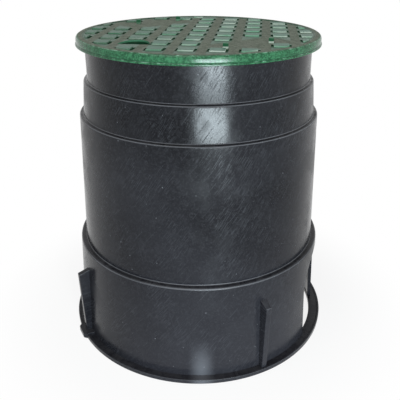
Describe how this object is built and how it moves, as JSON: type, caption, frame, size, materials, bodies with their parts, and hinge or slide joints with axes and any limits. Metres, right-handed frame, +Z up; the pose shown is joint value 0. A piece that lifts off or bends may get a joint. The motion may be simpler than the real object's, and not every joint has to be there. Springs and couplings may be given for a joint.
{
  "type": "inspection box",
  "caption": "Round stepped inspection box for buried valves, open at the base, with arched pipe slots, a foot flange with gusset ribs and a lift-off treaded lid.",
  "frame": {"origin": "on the ground under the box's centre line", "axes": "+Z up through the lid, the two pipe slots look along +X and -X"},
  "size_m": [0.2092, 0.2092, 0.2311],
  "materials": {
    "body_plastic": "satin black moulded polyolefin, lightly scuffed",
    "lid_plastic": "satin green moulded polyolefin with a fine grain on top"
  },
  "bodies": {
    "root": {"box_body": "body_plastic", "lid": "lid_plastic"}
  },
  "joints": []
}
